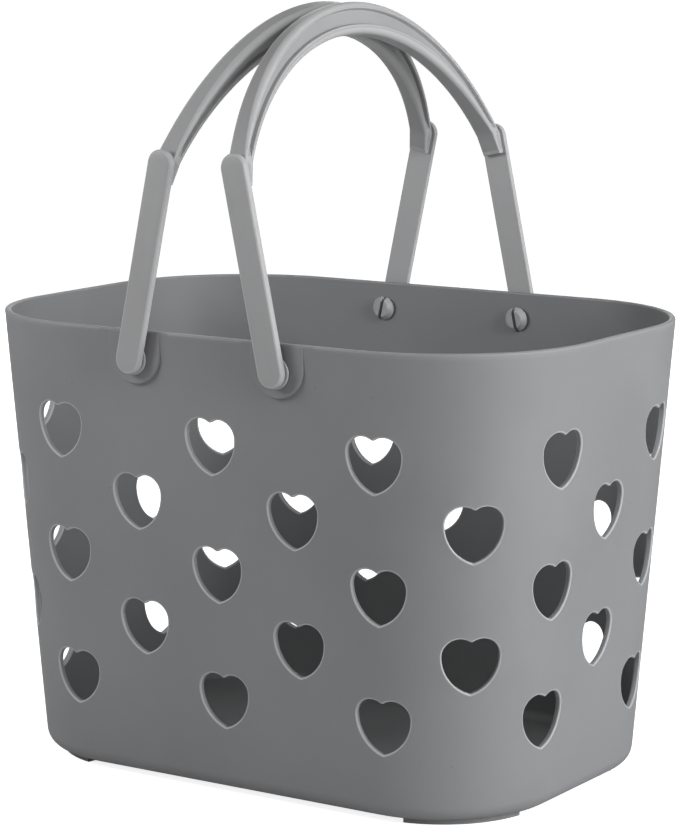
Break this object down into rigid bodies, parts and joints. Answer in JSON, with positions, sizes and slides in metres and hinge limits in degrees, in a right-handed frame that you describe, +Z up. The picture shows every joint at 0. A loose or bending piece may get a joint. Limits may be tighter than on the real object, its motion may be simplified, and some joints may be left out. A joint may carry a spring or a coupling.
{
  "type": "shower caddy",
  "caption": "Tapered open basket with heart-shaped drain holes and two swing handles, for carrying and storing toiletries.",
  "frame": {"origin": "centre of the footprint, on the surface that the corner feet stand on", "axes": "+Z up, X along the long walls, -Y towards the front long wall"},
  "size_m": [0.263, 0.1942, 0.3096],
  "materials": {
    "basket_plastic": "soft matte moulded polypropylene, mid grey",
    "handle_plastic": "satin moulded polypropylene, a lighter grey than the basket",
    "stud_plastic": "satin moulded plastic, the same grey as the handles"
  },
  "bodies": {
    "basket": {"basket": "basket_plastic"},
    "left_handle": {"left_grip": "handle_plastic", "left_front_arm": "handle_plastic", "left_back_arm": "handle_plastic", "left_front_stud": "stud_plastic", "left_back_stud": "stud_plastic"},
    "right_handle": {"right_grip": "handle_plastic", "right_front_arm": "handle_plastic", "right_back_arm": "handle_plastic", "right_front_stud": "stud_plastic", "right_back_stud": "stud_plastic"}
  },
  "joints": [
    {"name": "left_handle_hinge", "type": "hinge", "parent": "basket", "child": "left_handle", "pos_m": [-0.0334, 0, 0.1738], "axis": [0, -1, 0], "range_deg": [0, 135]},
    {"name": "right_handle_hinge", "type": "hinge", "parent": "basket", "child": "right_handle", "pos_m": [0.0334, 0, 0.1738], "axis": [0, 1, 0], "range_deg": [0, 135]}
  ]
}
